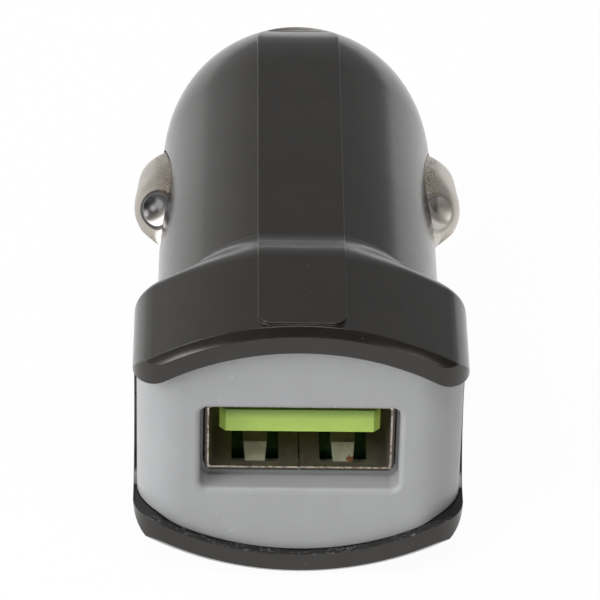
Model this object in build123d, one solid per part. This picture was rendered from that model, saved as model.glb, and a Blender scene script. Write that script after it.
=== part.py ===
"""Single-port car USB charger plug, in millimetres.

Y runs along the plug, from the grey face (-Y) to the nose (+Y). Z is up, X is to the right seen from
the face. The origin is on the plug axis, on the straight barrel just clear of the flared head.
"""
import os
from math import atan2, cos, pi, sin, sqrt

from build123d import *

OUT = "parts"
BEYOND = 20.0

# Head
HEAD_WIDTH = 23.0
HEAD_HEIGHT = 21.3
HEAD_ARC = 20.0
HEAD_CORNER = 2.6
HEAD_FRONT = -14.0
HEAD_PLAN_CORNER = 2.4
HEAD_BEVEL = 0.55
HEAD_WALL = 1.9
HEAD_CAVITY_END = -5.6
FLARE_START = -5.4
FLARE_LENGTH = 4.0
FLARE_SECTIONS = 9
FLARE_STEP = 0.04
FLARE_RATIO = 0.985
FLARE_END = FLARE_START + FLARE_LENGTH

# Barrel and nose
BARREL_R = 10.06
BARREL_DRAFT_Y = 8.6
BARREL_WALL = 1.66
BARREL_ROOT = 0.3
BORE_R = BARREL_R - BARREL_WALL
NOSE_START = 20.2
NOSE_R = BARREL_R - 0.08
NOSE_LENGTH = 11.1
NOSE_POWER = 2.5
NOSE_CUT = 2.9
NOSE_END = NOSE_START + NOSE_LENGTH - NOSE_CUT
BULKHEAD_FRONT = 20.9
BULKHEAD_BACK = 22.0
NOSE_BORE_R = 4.6
SPIGOT_END = NOSE_END + 1.0
PARTING_GAP = 0.08
PIN_R = 0.65
PIN_HEIGHT = 1.2
PIN_DEPTH = 1.0
PIN_GAP = 0.08
PIN_HEAD_Y = -4.4
PIN_NOSE_Y = NOSE_END - 1.6

# Lips and the notch for the fascia
LIP_EDGE = 8.75
LIP_ARC = 18.5
LIP_ARC_END = HEAD_WIDTH / 2 - 2.2
LIP_SIDE = 5.7
LIP_SIDE_X = HEAD_WIDTH / 2 + 0.1
NOTCH_START = -11.5
NOTCH_END = -7.0
NOTCH_RISE = 0.3

# Flat strip on top: proud of the head, its long edges proud of the barrel
STRIP_WIDTH = 6.0
STRIP_HEAD_RISE = 0.12
STRIP_STEP = 0.2
STRIP_FRONT = -13.25
STRIP_BACK = NOSE_END - 0.8
STRIP_CORNER = 1.0
STRIP_NOSE_CORNER = STRIP_WIDTH / 2 - 0.1
STRIP_FOOT = 7.0

# Fascia
FASCIA_FRONT = -13.35
FASCIA_HALF = HEAD_WIDTH / 2 - 0.25
FASCIA_PLATE_BACK = -11.5
FASCIA_CHEEK = 1.5
FASCIA_OVERLAP = 0.5
FASCIA_GAP = 0.06
POCKET_WIDTH = 13.7
POCKET_HEIGHT = 7.0
POCKET_CORNER = 0.6
POCKET_EDGE = 0.4
POCKET_FLAT = 1.1
FASCIA_CORNER = FASCIA_HALF - POCKET_WIDTH / 2 - POCKET_FLAT
COLLAR_WALL = 1.1
COLLAR_BACK = -9.8
NECK_FRONT = -11.5
NECK_BACK = -10.8
NECK_GAP = 0.1
TONGUE_WIDTH = 6.0
TONGUE_THICK = 1.3
TONGUE_BACK = -8.4

# Port
PORT_FRONT = -11.9
PORT_BACK = 1.1
PORT_WIDTH = 12.5
PORT_HEIGHT = 5.12
PORT_SHEET = 0.3
PORT_CORNER = 0.55
PORT_LEG_Y = -4.2
PORT_LEG_WIDTH = 1.6
SEAM = 0.08
FINGER_X = 3.05
WINDOW_WIDTH = 3.26
WINDOW_FRONT = 0.6
WINDOW_LENGTH = 6.2
WINDOW_CORNER = 0.35
FINGER_WIDTH = 1.7
FINGER_TIP = 1.35
FINGER_DIP = 0.35
FINGER_ROOT_RATIO = 0.84
FINGER_HEEL_RATIO = 0.33
FINGER_CREST_RATIO = 0.25
FINGER_END_RATIO = 0.02
FINGER_BOW = {-1: 0.21, 1: 0.12}
INSULATOR_BLOCK_FRONT = -3.2
INSULATOR_BACK = 0.9
INSULATOR_GAP = 0.1
BLADE_FRONT = -11.3
BLADE_WIDTH = 11.1
BLADE_LOW = 0.06
BLADE_THICK = 1.84
BLADE_CHAMFER = 0.45
CONTACT_X = (-3.5, -1.0, 1.0, 3.5)
CONTACT_WIDTH = 1.0
CONTACT_SHEET = 0.24
CONTACT_FRONT = -10.6
CONTACT_LEG_Y = -0.2
CONTACT_LEG_INSET = 0.2
CONTACT_GAP = 0.03

# Side contacts: station along the plug, rise above the barrel, half height at the barrel
WING_STATIONS = (
    (9.2, -0.3, 0.7),
    (10.2, 0.1, 1.5),
    (11.2, 0.55, 1.95),
    (12.2, 1.3, 2.3),
    (13.2, 1.8, 2.55),
    (14.6, 1.95, 2.68),
    (16.2, 1.8, 2.5),
    (18.0, 1.6, 1.95),
    (19.6, 1.0, 1.35),
    (20.8, 0.15, 0.9),
    (22.0, -0.9, 0.5),
)
WING_FIRST = WING_STATIONS[0][0]
WING_LAST = WING_STATIONS[-1][0]
WING_TILT = 5.5
WING_BASE = BARREL_R - 2.06
WING_SHEET = 0.4
WING_BULGE = 1.1
WING_GAP = 0.2
WING_TRAVEL = 1.75
TAB_FRONT = 1.6
TAB_FRONT_HALF = 2.0
TAB_BACK = 1.1
TAB_BACK_HALF = 0.8
DIMPLE_R = 1.9
DIMPLE_AT = (BARREL_R + 1.31, 11.34, 2.23)
WIPER_X = WING_BASE - 0.6
WIPER_FRONT = 1.4
WIPER_BACK = 0.2
WIPER_REACH = 1.6

# Circuit board and its parts: sizes are across, along and up, places are x and y
SEAT_GAP = 0.05
BOARD_TOP = -(PORT_HEIGHT / 2 + PORT_SHEET + 0.14)
BOARD_THICK = 1.2
BOARD_LOW = BOARD_TOP - BOARD_THICK
BOARD_FRONT = -9.2
BOARD_BACK = 20.6
BOARD_HALF = sqrt(BORE_R ** 2 - BOARD_LOW ** 2) - 0.27
BOARD_WAIST = WING_BASE - WING_TRAVEL - 0.35
BOARD_WAIST_Y = 8.5
BOARD_WAIST_RUN = 0.8
RIB_X = BOARD_WAIST - 0.7
RIB_WIDTH = 1.2
RIB_FRONT = -6.0
POST_WIDTH = 1.4
POST_Y = 2.2
LEG_LENGTH = 0.8
LEG_GAP = 0.08
DRUM_Y = 11.9
DRUM_R = 3.6
DRUM_CORE_R = 1.8
DRUM_FLANGE = 0.9
DRUM_HEIGHT = 4.4
WINDING_R = 3.1
CAN_DROP = 3.4
CAN_TOP = BORE_R - CAN_DROP
CAN_EDGE = 0.4
CAN_GROOVE = 0.25
CAN_GROOVE_LOW = 1.0
CAN_GROOVE_WIDTH = 0.5
INPUT_CAN_R = 2.5
INPUT_CAN_AT = (-1.9, 18.0)
OUTPUT_CAN_R = 3.0
OUTPUT_CAN_AT = (-2.4, 4.7)
CHIP_LIFT = 0.12
CONVERTER_SIZE = (4.9, 3.9, 1.45)
CONVERTER_AT = (0.0, 6.0)
CONVERTER_LEADS = (4, 1.27, 0.4, 0.2, 6.0)
PORT_CHIP_SIZE = (2.9, 1.6, 1.1)
PORT_CHIP_AT = (2.4, 4.65)
PORT_CHIP_LEADS = (3, 0.95, 0.4, 0.15, 2.8)
DIODE_SIZE = (2.6, 4.3, 2.1)
DIODE_AT = (0.0, 12.6)
DIODE_LEADS = (1, 0.0, 1.4, 0.3, 5.0)
RESISTOR_SIZE = (0.8, 1.6, 0.45)
RESISTOR_TOP = ((4.9, 4.2), (2.6, 7.4), (3.6, 16.2))
RESISTOR_UNDER = ((-3.4, 15.6),)
CERAMIC_SIZE = (1.25, 2.0, 1.0)
CERAMIC_TOP = ((4.6, 6.4), (3.0, 18.4))
CERAMIC_UNDER = ((2.4, 16.6), (0.0, 1.4))

# Nose ring, centre contact and spring
RING_GAP = 0.05
RING_FRONT = NOSE_END + RING_GAP
RING_BACK = NOSE_END + 1.9
RING_WALL = 1.3
RING_HOLE_R = 3.5
TIP_R = 3.3
TIP_END = RING_BACK + 2.7
TIP_ROUND = 1.6
TIP_FLANGE_R = 4.3
TIP_FLANGE_FRONT = SPIGOT_END
TIP_FLANGE_BACK = NOSE_END
TIP_STUB = 1.2
LUG_R = 3.0
LUG_THICK = 0.3
LUG_LEG_X = 1.6
LUG_LEG_WIDTH = 1.2
LUG_LEG_TOP = -1.5
LUG_LEG_FRONT = 19.2
LUG_GAP = 0.1
COIL_R = 2.2
WIRE_R = 0.3
COIL_TURNS = 4.5
COIL_GAP = 0.03


def at_y(y):
    """Plane across the plug at y, with its own x along X and its own y along Z."""
    return Plane(origin=(0, y, 0), x_dir=(1, 0, 0), z_dir=(0, -1, 0))


def along_y(face, y0, y1):
    """Prism of a cross-section face, from y0 to y1."""
    return extrude(at_y(y0) * face, y1 - y0, dir=(0, 1, 0))


def block(x0, x1, y0, y1, z0, z1):
    """Box between two corners."""
    centre = ((x0 + x1) / 2, (y0 + y1) / 2, (z0 + z1) / 2)
    return Pos(*centre) * Box(x1 - x0, y1 - y0, z1 - z0)


def rod(radius, y0, y1):
    """Round bar along the plug axis."""
    return along_y(Circle(radius), y0, y1)


def post(radius, x, y, z0, z1):
    """Round bar along Z."""
    return Pos(x, y, (z0 + z1) / 2) * Cylinder(radius, z1 - z0)


def both_sides(solid):
    """A solid and its mirror image across the plug."""
    return solid + mirror(solid, about=Plane.YZ)


def blend(a, b, share):
    """Value part of the way from a to b."""
    return a + (b - a) * share


def head_face(share=0.0):
    """Outline of the head: crowned top and bottom, flat sides, round corners.

    A share above 0 takes it that far towards the round foot of the flare.
    """
    foot = BARREL_R + FLARE_STEP
    w = blend(HEAD_WIDTH / 2, foot, share)
    h = blend(HEAD_HEIGHT / 2, foot, share)
    r = blend(HEAD_ARC, foot, share)
    rc = blend(HEAD_CORNER, foot, share)
    xk = w - rc
    zk = h - r + sqrt((r - rc) ** 2 - xk ** 2)
    reach = r / (r - rc)
    xt = xk * reach
    zt = h - r + (zk - h + r) * reach
    turn = atan2(zk - h + r, xk) / 2
    xm = xk + rc * cos(turn)
    zm = zk + rc * sin(turn)
    edges = [
        Line((w, -zk), (w, zk)),
        ThreePointArc((w, zk), (xm, zm), (xt, zt)),
        ThreePointArc((xt, zt), (0, h), (-xt, zt)),
        ThreePointArc((-xt, zt), (-xm, zm), (-w, zk)),
        Line((-w, zk), (-w, -zk)),
        ThreePointArc((-w, -zk), (-xm, -zm), (-xt, -zt)),
        ThreePointArc((-xt, -zt), (0, -h), (xt, -zt)),
        ThreePointArc((xt, -zt), (xm, -zm), (w, -zk)),
    ]
    return make_face(edges)


def flare_share(y):
    """How far the shoulder has gone from the head to the barrel: a soft S."""
    t = min(1.0, max(0.0, (y - FLARE_START) / FLARE_LENGTH))
    return FLARE_RATIO * (1 - cos(pi * t)) / 2


def flare_body():
    """The head's shoulder, sweeping in to the barrel."""
    faces = []
    for k in range(FLARE_SECTIONS):
        y = FLARE_START + FLARE_LENGTH * k / (FLARE_SECTIONS - 1)
        faces.append(at_y(y) * head_face(flare_share(y)))
    return loft(faces)


def head_body(flare):
    """The straight part of the head, with rounded front corners and a bevelled front edge."""
    root = flare.faces().sort_by(Axis.Y)[0]
    prism = extrude(root, FLARE_START - HEAD_FRONT, dir=(0, -1, 0))
    plan = RectangleRounded(HEAD_WIDTH, BEYOND, HEAD_PLAN_CORNER)
    prism = prism & extrude(Pos(0, HEAD_FRONT + BEYOND / 2) * plan, BEYOND, both=True)
    bevel = Polyline(
        (0, HEAD_FRONT),
        (HEAD_ARC - HEAD_BEVEL, HEAD_FRONT),
        (HEAD_ARC, HEAD_FRONT + HEAD_BEVEL),
        (HEAD_ARC + 1, FLARE_START),
        (0, FLARE_START),
        close=True,
    )
    trim = revolve(make_face(bevel), Axis.Y)
    for side in (1, -1):
        prism = prism & (Pos(0, 0, side * (HEAD_HEIGHT / 2 - HEAD_ARC)) * trim)
    return prism


def nose_radius(y):
    """Radius of the nose where it rounds in."""
    u = min(1.0, max(0.0, (y - NOSE_START) / NOSE_LENGTH))
    return NOSE_R * (1 - u ** NOSE_POWER) ** (1 / NOSE_POWER)


def nose_curve(y0, y1, count=9):
    """Nose outline between two stations, as a spline of (radius, y)."""
    points = []
    for k in range(count):
        y = blend(y0, y1, k / (count - 1))
        points.append((nose_radius(y), y))
    return Spline(*points)


def spigot_radius():
    """Radius of the spigot that carries the nose ring."""
    return nose_radius(NOSE_END) - RING_WALL


def barrel_body():
    """Straight barrel with a little draft at its far end, and the rounded nose."""
    root = FLARE_END - BARREL_ROOT
    edges = [
        Line((0, root), (BARREL_R, root)),
        Line((BARREL_R, root), (BARREL_R, BARREL_DRAFT_Y)),
        Line((BARREL_R, BARREL_DRAFT_Y), (NOSE_R, NOSE_START)),
        nose_curve(NOSE_START, NOSE_END),
        Line((nose_radius(NOSE_END), NOSE_END), (0, NOSE_END)),
        Line((0, NOSE_END), (0, root)),
    ]
    return revolve(make_face(edges), Axis.Y)


def strip_height(radius):
    """Height of the flat strip over the plug axis where the plug is round."""
    return sqrt((radius + STRIP_STEP) ** 2 - (STRIP_WIDTH / 2) ** 2)


def strip_plan():
    """Plan of the strip, seen from above: tight corners at the front, a round end on the nose."""
    middle = (STRIP_FRONT + STRIP_BACK) / 2
    half = STRIP_BACK - middle
    front = RectangleRounded(STRIP_WIDTH, half + STRIP_WIDTH, STRIP_CORNER)
    back = RectangleRounded(STRIP_WIDTH, half + STRIP_WIDTH, STRIP_NOSE_CORNER)
    reach = (half - STRIP_WIDTH) / 2
    plan = Pos(0, middle - reach) * front + Pos(0, middle + reach) * back
    return Pos(0, 0, STRIP_FOOT) * extrude(plan, BEYOND)


def strip_side():
    """Everything under the strip's surface, as a broad prism."""
    head = HEAD_HEIGHT / 2 + STRIP_HEAD_RISE
    low = strip_height(BARREL_R)
    flare = []
    for k in range(FLARE_SECTIONS):
        y = FLARE_START + FLARE_LENGTH * k / (FLARE_SECTIONS - 1)
        flare.append((y, blend(head, low, flare_share(y) / FLARE_RATIO)))
    nose = []
    for k in range(FLARE_SECTIONS):
        y = blend(NOSE_START, NOSE_END, k / (FLARE_SECTIONS - 1))
        nose.append((y, strip_height(nose_radius(y))))
    front = STRIP_FRONT - 1
    edges = [
        Line((front, 0), (front, head)),
        Line((front, head), flare[0]),
        Spline(*flare, tangents=((1, 0), (1, 0))),
        Line(flare[-1], (BARREL_DRAFT_Y, low)),
        Line((BARREL_DRAFT_Y, low), nose[0]),
        Spline(*nose),
        Line(nose[-1], (NOSE_END, 0)),
        Line((NOSE_END, 0), (front, 0)),
    ]
    return extrude(Plane.YZ * make_face(edges), STRIP_WIDTH, both=True)


def lip_face(inset=0.0):
    """Front opening between the lips, running out past both sides."""
    x = LIP_ARC_END
    top = LIP_EDGE - inset
    foot = sqrt(LIP_ARC ** 2 - x * x)
    slope = x / foot
    zx = top - LIP_ARC + foot
    side = LIP_SIDE - inset
    edges = []
    for s in (1, -1):
        edges.append(ThreePointArc((-x, s * zx), (0, s * top), (x, s * zx)))
        for k in (1, -1):
            tangents = ((k, -s * slope), (k, 0))
            edges.append(Spline((k * x, s * zx), (k * LIP_SIDE_X, s * side), tangents=tangents))
            edges.append(Line((k * LIP_SIDE_X, s * side), (k * BEYOND, s * side)))
    edges.append(Line((BEYOND, side), (BEYOND, -side)))
    edges.append(Line((-BEYOND, side), (-BEYOND, -side)))
    return make_face(edges)


def notch_prism(inset=0.0):
    """Side view of the opening: full height at the lips, then closing to a round end."""
    high = LIP_SIDE + NOTCH_RISE - inset
    front = HEAD_FRONT - 1
    end = NOTCH_END - inset
    nose = EllipticalCenterArc((NOTCH_START, 0), end - NOTCH_START, high, -90, arc_size=180)
    edges = [
        nose,
        Line((NOTCH_START, high), (NOTCH_START, BEYOND)),
        Line((NOTCH_START, BEYOND), (front, BEYOND)),
        Line((front, BEYOND), (front, -BEYOND)),
        Line((front, -BEYOND), (NOTCH_START, -BEYOND)),
        Line((NOTCH_START, -BEYOND), (NOTCH_START, -high)),
    ]
    return extrude(Plane.YZ * make_face(edges), BEYOND, both=True)


def wing_face(rise, half, grow, base):
    """One station of a side contact: half an oval standing on its base line."""
    a = BARREL_R + rise - WING_BASE + grow
    b = half * WING_BULGE + grow
    arc = EllipticalCenterArc((WING_BASE, 0), a, b, -90, arc_size=180)
    edges = [
        arc,
        Line((WING_BASE, b), (base, b)),
        Line((base, b), (base, -b)),
        Line((base, -b), (WING_BASE, -b)),
    ]
    return make_face(edges)


def wing_body(grow=0.0, depth=0.1):
    """Boat shape of a side contact, grown for its slot or shrunk for its hollow."""
    faces = []
    for y, rise, half in WING_STATIONS:
        if y == WING_FIRST:
            y = y - grow
        if y == WING_LAST:
            y = y + grow
        faces.append(at_y(y) * wing_face(rise, half, grow, WING_BASE - depth))
    return loft(faces)


def tilted(solid):
    """A side contact, or its slot, turned a little way up the barrel."""
    return Rot(0, -WING_TILT, 0) * solid


def wing_pocket():
    """Room inside the nose for the back end of a side contact."""
    inner = WING_BASE - WING_SHEET - WING_TRAVEL - WING_GAP
    half = TAB_BACK_HALF + WING_BASE * sin(WING_TILT * pi / 180) + WING_GAP
    back = WING_LAST + TAB_BACK + WING_GAP
    return block(inner, WING_BASE + WING_GAP, BULKHEAD_FRONT - WING_SHEET, back, -half, half)


def shell_body():
    """Both halves of the housing as one hollow body."""
    flare = flare_body()
    body = head_body(flare) + flare + barrel_body()
    column = strip_plan()
    body = body - column + (column & strip_side())
    body = body + rod(spigot_radius(), NOSE_END - 1, SPIGOT_END)
    opening = lip_face()
    inside = HEAD_WIDTH / 2 - HEAD_WALL
    cavity = along_y(opening, HEAD_FRONT - 1, HEAD_CAVITY_END)
    cavity = cavity & block(-inside, inside, HEAD_FRONT - 2, 0, -BEYOND, BEYOND)
    body = body - cavity
    notch = along_y(opening, HEAD_FRONT - 1, NOTCH_END + 1) & notch_prism()
    body = body - notch
    body = body - rod(BORE_R, HEAD_CAVITY_END - 1, BULKHEAD_FRONT)
    body = body - rod(NOSE_BORE_R, BULKHEAD_BACK, SPIGOT_END + 1)
    slot = tilted(wing_body(WING_GAP, WING_TRAVEL)) + wing_pocket()
    return body - both_sides(slot)


def pins(radius, z0, z1):
    """Locating pins, or their holes, on the parting plane, in the middle of the walls."""
    head = both_sides(post(radius, (HEAD_WIDTH / 2 + BORE_R) / 2, PIN_HEAD_Y, z0, z1))
    nose = both_sides(post(radius, (NOSE_BORE_R + nose_radius(PIN_NOSE_Y)) / 2, PIN_NOSE_Y, z0, z1))
    return head + nose


def upper_shell(body):
    """Top half, with two posts that hold the board down."""
    half = body & block(-BEYOND, BEYOND, -BEYOND, 2 * BEYOND, PARTING_GAP / 2, BEYOND)
    y0 = POST_Y - POST_WIDTH / 2
    y1 = POST_Y + POST_WIDTH / 2
    arm = block(BOARD_HALF - POST_WIDTH, BOARD_HALF, y0, y1, BOARD_TOP + SEAT_GAP, BARREL_R)
    half = half + (both_sides(arm) & rod(BORE_R + BARREL_WALL / 3, y0, y1))
    return half - pins(PIN_R + PIN_GAP, -PIN_DEPTH, PIN_HEIGHT + PIN_GAP)


def lower_shell(body):
    """Bottom half, with two ribs under the board and the locating pins."""
    half = body & block(-BEYOND, BEYOND, -BEYOND, 2 * BEYOND, -BEYOND, -PARTING_GAP / 2)
    back = (BULKHEAD_FRONT + BULKHEAD_BACK) / 2
    rib = block(RIB_X - RIB_WIDTH / 2, RIB_X + RIB_WIDTH / 2, RIB_FRONT, back, -BARREL_R, BOARD_LOW)
    half = half + (both_sides(rib) & rod(BORE_R + BARREL_WALL / 3, RIB_FRONT, back))
    slot = block(
        LUG_LEG_X - LUG_LEG_WIDTH / 2 - LUG_GAP,
        LUG_LEG_X + LUG_LEG_WIDTH / 2 + LUG_GAP,
        BULKHEAD_FRONT - 1,
        BULKHEAD_BACK + 1,
        BOARD_TOP - LUG_GAP,
        BOARD_TOP + SEAT_GAP + LUG_THICK + LUG_GAP,
    )
    return half - slot + pins(PIN_R, -PIN_DEPTH, PIN_HEIGHT)


def pocket_rim(body):
    """Edges where the port pocket opens on the front of the fascia."""
    rim = []
    for edge in body.edges():
        box = edge.bounding_box()
        flat = max(abs(box.min.Y - FASCIA_FRONT), abs(box.max.Y - FASCIA_FRONT)) < POCKET_EDGE / 10
        within = box.max.X < POCKET_WIDTH / 2 + FASCIA_GAP and box.max.Z < POCKET_HEIGHT / 2 + FASCIA_GAP
        if flat and within:
            rim.append(edge)
    return rim


def front_fascia():
    """Grey face with the port pocket, side cheeks and two holding tongues."""
    face = lip_face(FASCIA_GAP)
    body = along_y(face, HEAD_FRONT, NOTCH_END + 1) & notch_prism(FASCIA_GAP)
    plan = RectangleRounded(2 * FASCIA_HALF, BEYOND, FASCIA_CORNER)
    body = body & extrude(Pos(0, FASCIA_FRONT + BEYOND / 2) * plan, BEYOND, both=True)
    inside = FASCIA_HALF - FASCIA_CHEEK
    body = body - block(-inside, inside, FASCIA_PLATE_BACK, 0, -BEYOND, BEYOND)
    overlap = FASCIA_PLATE_BACK - FASCIA_OVERLAP
    tongue = along_y(face, overlap, TONGUE_BACK)
    tongue = tongue & block(-TONGUE_WIDTH / 2, TONGUE_WIDTH / 2, -BEYOND, 0, -BEYOND, BEYOND)
    top = LIP_EDGE - TONGUE_THICK
    body = body + (tongue - block(-TONGUE_WIDTH, TONGUE_WIDTH, -BEYOND, 0, -top, top))
    outer = RectangleRounded(
        POCKET_WIDTH + 2 * COLLAR_WALL, POCKET_HEIGHT + 2 * COLLAR_WALL, POCKET_CORNER + COLLAR_WALL
    )
    body = body + along_y(outer, overlap, COLLAR_BACK)
    pocket = RectangleRounded(POCKET_WIDTH, POCKET_HEIGHT, POCKET_CORNER)
    body = body - along_y(pocket, FASCIA_FRONT - 1, NECK_FRONT)
    body = body - along_y(pocket, NECK_BACK, COLLAR_BACK + 1)
    grow = 2 * (PORT_SHEET + NECK_GAP)
    neck = RectangleRounded(PORT_WIDTH + grow, PORT_HEIGHT + grow, PORT_CORNER + NECK_GAP)
    body = body - along_y(neck, NECK_FRONT - 1, NECK_BACK + 1)
    for x in (-FINGER_X, FINGER_X):
        x0 = x - WINDOW_WIDTH / 2
        x1 = x + WINDOW_WIDTH / 2
        front = PORT_FRONT + WINDOW_FRONT
        body = body - block(x0, x1, front, NECK_BACK + 1, -POCKET_HEIGHT / 2, POCKET_HEIGHT / 2)
    return fillet(pocket_rim(body), POCKET_EDGE)


def finger(x, side):
    """One spring finger of the port, bowed into the opening, its tip dipped into its window."""
    wall = PORT_HEIGHT / 2
    front = PORT_FRONT + WINDOW_FRONT
    back = front + WINDOW_LENGTH
    bow = FINGER_BOW[side] - wall
    heel = blend(front, back, FINGER_HEEL_RATIO)
    low = [
        (back + PORT_SHEET, -wall - PORT_SHEET),
        (blend(front, back, FINGER_ROOT_RATIO), -wall - PORT_SHEET),
        (heel, bow),
        (blend(front, back, FINGER_CREST_RATIO), bow),
        (blend(front, back, FINGER_END_RATIO), -wall - FINGER_DIP),
    ]
    high = [(y, z + PORT_SHEET) for y, z in low]
    profile = make_face(Polyline(*low, *reversed(high), close=True))
    bar = extrude(Plane.YZ * profile, FINGER_WIDTH / 2, both=True)
    end = back + PORT_SHEET
    taper = Polyline(
        (-FINGER_TIP / 2, front),
        (FINGER_TIP / 2, front),
        (FINGER_WIDTH / 2, heel),
        (FINGER_WIDTH / 2, end),
        (-FINGER_WIDTH / 2, end),
        (-FINGER_WIDTH / 2, heel),
        close=True,
    )
    bar = bar & extrude(make_face(taper), BEYOND, both=True)
    if side > 0:
        bar = mirror(bar, about=Plane.XY)
    return Pos(x, 0, 0) * bar


def usb_shell():
    """Folded sheet tube with a butt seam, four fingers in their windows and two board legs."""
    outer = RectangleRounded(PORT_WIDTH + 2 * PORT_SHEET, PORT_HEIGHT + 2 * PORT_SHEET, PORT_CORNER)
    inner = RectangleRounded(PORT_WIDTH, PORT_HEIGHT, PORT_CORNER - PORT_SHEET)
    body = along_y(outer, PORT_FRONT, PORT_BACK) - along_y(inner, PORT_FRONT - 1, PORT_BACK + 1)
    middle = PORT_FRONT + WINDOW_FRONT + WINDOW_LENGTH / 2
    window = extrude(RectangleRounded(WINDOW_WIDTH, WINDOW_LENGTH, WINDOW_CORNER), BEYOND, both=True)
    for x in (-FINGER_X, FINGER_X):
        body = body - Pos(x, middle, 0) * window
    for side in (-1, 1):
        for x in (-FINGER_X, FINGER_X):
            body = body + finger(x, side)
    low = -PORT_HEIGHT / 2 - 1
    high = -PORT_HEIGHT / 2 + INSULATOR_GAP
    body = body - block(-SEAM / 2, SEAM / 2, PORT_FRONT - 1, PORT_BACK + 1, low, high)
    legs = CONTACT_X[-1] + CONTACT_WIDTH / 2 + PORT_SHEET
    body = body - block(-legs, legs, CONTACT_LEG_Y - 2 * PORT_SHEET, PORT_BACK + 1, low, high)
    return body + usb_legs(0.0)


def usb_legs(grow):
    """Two sheet legs that pass through the board."""
    out = PORT_WIDTH / 2 + PORT_SHEET
    y0 = PORT_LEG_Y - PORT_LEG_WIDTH / 2
    y1 = PORT_LEG_Y + PORT_LEG_WIDTH / 2
    low = BOARD_LOW - LEG_LENGTH
    leg = block(out - PORT_SHEET - grow, out + grow, y0 - grow, y1 + grow, low, -PORT_HEIGHT / 2 + 1)
    return both_sides(leg)


def usb_contact(x, grow=0.0):
    """Port contact: a strip under the tongue and a leg through the board."""
    half = CONTACT_WIDTH / 2 + grow
    back = CONTACT_LEG_Y + grow
    high = CONTACT_SHEET + grow
    strip = block(x - half, x + half, CONTACT_FRONT - grow, back, -grow, high)
    width = half - CONTACT_LEG_INSET
    front = CONTACT_LEG_Y - CONTACT_SHEET - grow
    return strip + block(x - width, x + width, front, back, BOARD_LOW - LEG_LENGTH, high)


def usb_insulator():
    """Green moulding: rear block and the tongue that carries the contacts."""
    half = BLADE_WIDTH / 2
    back = INSULATOR_BLOCK_FRONT + INSULATOR_GAP
    blade = block(-half, half, BLADE_FRONT, back, BLADE_LOW, BLADE_LOW + BLADE_THICK)
    front = blade.faces().sort_by(Axis.Y)[0]
    blade = chamfer(front.edges().filter_by(Axis.Z), BLADE_CHAMFER)
    x = PORT_WIDTH / 2 - INSULATOR_GAP
    z = PORT_HEIGHT / 2 - INSULATOR_GAP
    body = blade + block(-x, x, INSULATOR_BLOCK_FRONT, INSULATOR_BACK, -z, z)
    for place in CONTACT_X:
        body = body - usb_contact(place, CONTACT_GAP)
    return body


def circuit_board():
    """Board with a waist between the side contacts and holes for the port's legs."""
    waist = BOARD_WAIST_Y + BOARD_WAIST_RUN
    outline = Polyline(
        (-BOARD_HALF, BOARD_FRONT),
        (BOARD_HALF, BOARD_FRONT),
        (BOARD_HALF, BOARD_WAIST_Y),
        (BOARD_WAIST, waist),
        (BOARD_WAIST, BOARD_BACK),
        (-BOARD_WAIST, BOARD_BACK),
        (-BOARD_WAIST, waist),
        (-BOARD_HALF, BOARD_WAIST_Y),
        close=True,
    )
    board = Pos(0, 0, BOARD_LOW) * extrude(make_face(outline), BOARD_THICK)
    board = board - usb_legs(LEG_GAP)
    for x in CONTACT_X:
        board = board - usb_contact(x, LEG_GAP)
    return board


def can(radius, place):
    """Upright capacitor can on the board, with a groove near its foot."""
    x, y = place
    body = post(radius, x, y, BOARD_TOP, CAN_TOP)
    top = body.faces().sort_by(Axis.Z)[-1]
    body = fillet(top.edges(), CAN_EDGE)
    low = BOARD_TOP + CAN_GROOVE_LOW
    high = low + CAN_GROOVE_WIDTH
    ring = post(radius + 1, x, y, low, high) - post(radius - CAN_GROOVE, x, y, low - 1, high + 1)
    return body - ring


def inductor_core():
    """Ferrite drum."""
    top = BOARD_TOP + DRUM_HEIGHT
    body = post(DRUM_R, 0, DRUM_Y, BOARD_TOP, BOARD_TOP + DRUM_FLANGE)
    body = body + post(DRUM_CORE_R, 0, DRUM_Y, BOARD_TOP, top)
    return body + post(DRUM_R, 0, DRUM_Y, top - DRUM_FLANGE, top)


def inductor_winding():
    """Copper winding on the drum."""
    z0 = BOARD_TOP + DRUM_FLANGE + SEAT_GAP
    z1 = BOARD_TOP + DRUM_HEIGHT - DRUM_FLANGE - SEAT_GAP
    return post(WINDING_R, 0, DRUM_Y, z0, z1) - post(DRUM_CORE_R + SEAT_GAP, 0, DRUM_Y, z0 - 1, z1 + 1)


def leaded_chip(size, leads):
    """Chip standing on its bent leads, which come out at its two ends along Y."""
    across, along, up = size
    count, pitch, width, sheet, span = leads
    body = block(-across / 2, across / 2, -along / 2, along / 2, CHIP_LIFT, CHIP_LIFT + up)
    middle = CHIP_LIFT + up / 2
    for k in range(count):
        x0 = (k - (count - 1) / 2) * pitch - width / 2
        lead = block(x0, x0 + width, -span / 2, span / 2, 0, middle)
        body = body + (lead - block(x0, x0 + width, sheet - span / 2, span / 2 - sheet, 0, middle - sheet))
    return body


def on_top(chip, place):
    """A board part turned across the board and set on its top."""
    return Pos(*place, BOARD_TOP) * Rot(0, 0, 90) * chip


def underneath(chip, place, turn=0):
    """A board part hung under the board."""
    return Pos(*place, BOARD_LOW) * Rot(180, 0, turn) * chip


def chip_group(size, top, under):
    """Small chips that share one node, each its own solid on or under the board."""
    width, length, height = size
    chips = []
    for places, low in ((top, BOARD_TOP), (under, BOARD_LOW - height)):
        for x, y in places:
            x0 = x - width / 2
            y0 = y - length / 2
            chips.append(block(x0, x0 + width, y0, y0 + length, low, low + height))
    return Compound(children=chips)


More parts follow.
